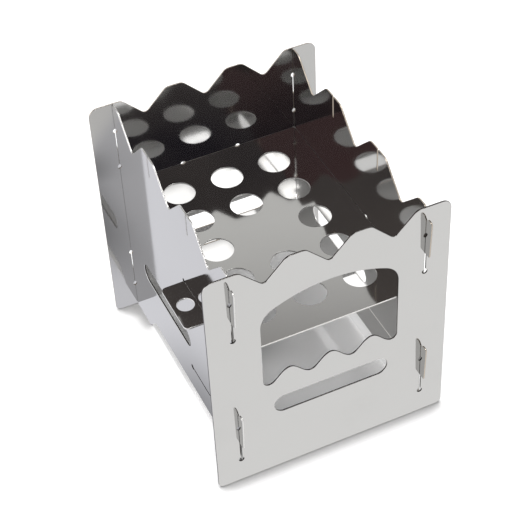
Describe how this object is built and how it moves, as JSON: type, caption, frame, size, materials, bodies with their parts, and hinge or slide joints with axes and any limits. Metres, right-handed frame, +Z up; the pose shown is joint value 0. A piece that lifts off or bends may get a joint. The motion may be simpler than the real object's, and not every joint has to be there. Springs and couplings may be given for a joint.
{
  "type": "hobo stove",
  "caption": "Flat-pack wood-burning hobo stove: hooked stainless sheet panels with a crown rim, fuel window, air slots and a perforated fire grate with a pull tab.",
  "frame": {"origin": "middle of the footprint on the table, under the bottom edges of the panels", "axes": "+Z up, front panel with the fuel window faces -Y, the pull tab of the grate sticks out on -X"},
  "size_m": [0.149, 0.179, 0.165],
  "materials": {
    "front_panel": "polished",
    "back_panel": "polished",
    "left_panel": "polished",
    "right_panel": "polished",
    "fire_grate": "polished"
  },
  "bodies": {
    "stove": {"back_panel": "back_panel", "left_panel": "left_panel", "right_panel": "right_panel", "fire_grate": "fire_grate"},
    "front": {"front_panel": "front_panel"}
  },
  "joints": [
    {"name": "front_panel_lift", "type": "slide", "parent": "stove", "child": "front", "axis": [0, 0, 1], "range_m": [0, 0.015]}
  ]
}
